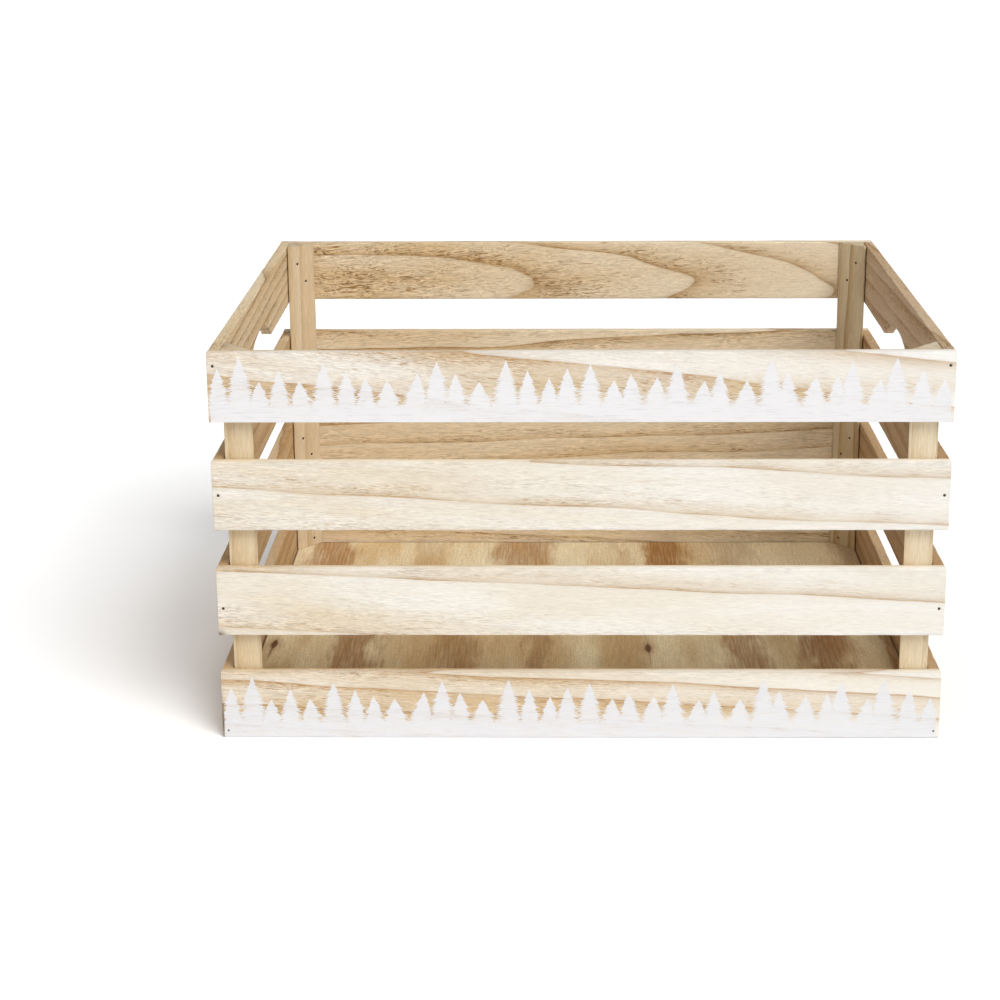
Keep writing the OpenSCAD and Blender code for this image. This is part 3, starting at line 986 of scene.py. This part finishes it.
paint = {
    # Row 4's greyer white is painted shade: it offsets the bright light that the floor throws on the lowest
    # slat
    "coats": {"1": ("D5D4D5", 0.07), "4": ("CFCFD1", 0.1)},  # by row: white, share of wood shown through
    "greyStrokes": "C5C3C5",
    "thin": (6, 1.1, 2, 0.6),  # patterns in the coat: mm along and across, detail, roughness
    "smear": (20, 3, 2, 0.6),
    "stroke": (14, 0.9, 2, 0.65),
    "thinCut": (0.6, 0.78, 0.6),  # values at which wood starts to show and is at its most, and that most
    "smearCut": (0.4, 0.75, 2),  # the same, as a multiple of the share of wood shown through
    "strokeCut": (0.5, 0.8),
    "evenShare": 0.6,  # part of that share that shows everywhere
    "roughness": 0.6,
    "gloss": 0.35,
    "bump": (0.35, 0.0001),
    "bradDark": (0.5, 1.0, 0.9),  # mm from a brad where its dark spot starts to fade and ends, strength
    "film": 0.1,  # mm, half of it sunk in the wood
    "bandTop": 11.5,  # mm above the slat's lower edge
    "bandMiddle": 6.0,
    "bandFoot": 0.35,
    "bandDrift": 2.5,
    "bandWaves": (77, (23, 9, 5, 3, 3)),  # seed and wave lengths of its upper edge, mm
    "bandStep": 1.3,
    "bandLift": 0.008,  # mm that the band lies below the firs
    "treeLift": (4, 0.006),  # levels of the firs' films, where they overlap, and mm from one to the next
    "margins": (1.3, 2.3),  # mm left bare at the left end and at the right one
    "treeStep": 13.9,  # mm from one fir to the next
    "treeShift": 2.8,
    "rowShift": -0.8,  # mm to the right of the slat's middle
    "rowRoom": 10,  # mm free beside the first and the last fir
    "tips": ((26, 30.5), (31.5, 36), (38, 43.5)),  # mm above the lower edge: low, middle and tall firs
    "order": "1201021001210210120102010210120210",  # 0 low, 1 middle, 2 tall
    "foot": 8.0,  # mm above the lower edge, where the firs end in the band
    "rowStep": 0.75,  # mm down from one row of branch ends to the next
    "widest": (0.12, 6.9, 0.9),  # half width: share of a fir's height, mm added to it, and mm of luck
    "roomShares": (1.4, 1.25),  # of the room beside a fir: its least half width, and what sets its slope
    "halfLeast": 0.14,
    "branchLuck": (0.8, 1.2),
    "slope": (0.57, 1.0),  # least and most half width gained for each mm down from the tip
    "closing": 17.6,  # mm above the lower edge, where a fir reaches half way to the next one
    "closingLuck": (-2.5, 2),
    "tier": (5.8, 0.15),  # mm from one tier of branches to the next, and how far a tier stands out
    "droop": 0.32,  # how far a branch end hangs for each mm that it reaches out
    "notch": (0.8, 0.54),  # share of the reach that is left between two branches, at the tip and lower down
    "notchReach": 9,  # mm below the tip over which the first goes over to the second
    "seed": 5,
}


# Firs of one size: (fir, row, left and right) half widths, and the rows' heights. At depth d under the tip
# the half width is W tanh(slope d / W). W grows with the fir's height and with the room up to half way to
# the next fir. Tiers widen downwards, and branch ends and notches alternate on the two sides
def firShape(tips, room, dice):
    tall = tips - paint["foot"]
    rows = np.arange(int(tall.max() / paint["rowStep"]) + 1)
    depth = rows * (tall / rows[-1])[:, None]
    widthShare, widthMore, widthLuck = paint["widest"]
    leastShare, slopeShare = paint["roomShares"]
    widest = (widthShare * tall + widthMore + dice.uniform(-widthLuck, widthLuck, len(tall)))[:, None]
    widest = np.maximum(widest, room * leastShare)[:, None]
    closing = paint["closing"] + dice.uniform(*paint["closingLuck"], room.shape)
    slope = np.clip(slopeShare * room / (tips[:, None] - closing), *paint["slope"])[:, None]
    isEnd = (rows[:, None] + np.arange(2)) % 2 == 0
    luck = dice.uniform(*paint["branchLuck"], (len(tall), len(rows), 2))
    high, low = paint["notch"]
    notch = low + (high - low) * np.exp(-depth[..., None] / paint["notchReach"])
    tierStep, tierOut = paint["tier"]
    tier = (depth[..., None] / tierStep + dice.uniform(0, 1, (len(tall), 1, 2))) % 1 - 0.5
    reach = np.where(isEnd, 1.0, notch) * luck * (1 + 2 * tierOut * tier)
    half = np.maximum(widest * np.tanh(slope * depth[..., None] / widest) * reach, paint["halfLeast"])
    return half, tips[:, None] - depth


# Depth of a film's front and back behind the slat's CAD face. The film lies half in the wood
filmBack = np.array([0, 0, 0, 1, 1, 1])


def filmDepth(across, seed):
    return faceDepth(across, seed) + paint["film"] * (filmBack - 0.5)


# Left, middle and right points on the front of each row, then the same on the back. Branch ends hang lower
def firRows(middle, half, height, lift, ends, seed):
    side = np.array([-1, 0, 1, 1, 0, -1])
    width = np.where(side < 0, half[..., :1], half[..., 1:]) * np.abs(side)
    across = np.clip(middle[:, None, None] + side * width, *ends)
    upward = height[..., None] - width * paint["droop"]
    return np.stack([across, upward, filmDepth(across, seed) - lift[:, None, None]], axis=-1)


# A film along the slat whose upper edge wanders
def bandRows(ends, seed):
    place = np.linspace(*ends, int((ends[1] - ends[0]) / paint["bandStep"]) + 1)
    top = paint["bandTop"] + paint["bandDrift"] * drift(place, *paint["bandWaves"])
    foot, middle = [np.full_like(place, paint[part]) for part in ("bandFoot", "bandMiddle")]
    upward = np.stack([foot, middle, top, top, middle, foot], axis=1)
    across = np.repeat(place[:, None], 6, 1)
    depth = filmDepth(across, seed) + paint["bandLift"] * (1 - filmBack)
    return np.stack([across, upward, depth], axis=-1)


def makePaint(name):
    seed = boardGrain[name]["Seed"]
    frameOfSlat = slatFrame(name)
    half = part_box(name)[1].x * 1000
    dice = np.random.default_rng(paint["seed"])
    order = np.array([int(size) for size in paint["order"]])
    middle = (np.arange(len(order)) - (len(order) - 1) / 2) * paint["treeStep"] + paint["rowShift"]
    middle = middle + dice.uniform(-1, 1, len(order)) * paint["treeShift"]
    ends = (paint["margins"][0] - half, half - paint["margins"][1])
    free = paint["rowRoom"]
    room = np.diff(middle, prepend=middle[0] - free, append=middle[-1] + free) / 2
    room = np.stack([room[:-1], room[1:]], axis=1)
    firs = []
    levels, liftStep = paint["treeLift"]
    for size, tipRange in enumerate(paint["tips"]):
        chosen = np.flatnonzero(order == size)
        reach, height = firShape(dice.uniform(*tipRange, len(chosen)), room[chosen], dice)
        lift = chosen % levels * liftStep
        firs.append(placePoints(frameOfSlat, firRows(middle[chosen], reach, height, lift, ends, seed)))
    band = placePoints(frameOfSlat, bandRows(ends, seed))[None]

    material = paintedWood(name, frameOfSlat)
    row = name.split("_")[-1]
    for label, shells in (("paint_firs_" + row, firs), ("paint_band_" + row, [band])):
        piece = shellMesh(label, shells, {})
        piece.data.shade_flat()
        piece.data.materials.append(material)
        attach(piece, "root")


# Thin matt white over the same board's grain, which shows through a little, and more where the coat is thin
def paintedWood(name, frameOfSlat):
    row = name.split("_")[-1]
    white, showThrough = paint["coats"][row]
    material, tree, shader = newMaterial("white paint " + name, paint["roughness"], paint["gloss"])
    grain = addGrain(tree, name, "pale", frameOfSlat)
    place = millimetres(tree)
    thin, smear, stroke = [grainNoise(place, *paint[part]) for part in ("thin", "smear", "stroke")]
    smearStart, smearEnd, smearMost = paint["smearCut"]
    share = calc("ADD", between(thin, *paint["thinCut"]),
                 between(smear, smearStart, smearEnd, smearMost * showThrough))
    share = calc("ADD", share, showThrough * paint["evenShare"], clamp=True)
    coat = blendColour(between(stroke, *paint["strokeCut"]), white, paint["greyStrokes"])
    colour = blendColour(share, coat, grain["Color"])
    # A set brad's dent stays dark where the coat runs over it
    low, high = [corner * 1000 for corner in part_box(name)]
    bradSpot = (high.x - cornerBrad["fromEnd"], -low.y, low.z + cornerBrad["rises"][int(row) - 1])
    away = vectorCalc("DISTANCE", vectorCalc("ABSOLUTE", place), bradSpot)
    start, end, strength = paint["bradDark"]
    dark = calc("SUBTRACT", strength, between(away, start, end, strength))
    colour = blendColour(dark, colour, bradSteel["steel"])
    feedShader(shader, colour, grain["Relief"], paint["bump"])
    return material


makeCamera()
makeStudio()
print("camera, light and floor made")
for board in boardGrain:
    if board.endswith("post"):
        makePost(board)
    else:
        makeSlat(board)
print("slats and posts made")
dressBottom()
dressBrads()
makePaint("front_slat_1")
makePaint("front_slat_4")
print("bottom, brads and paint done")
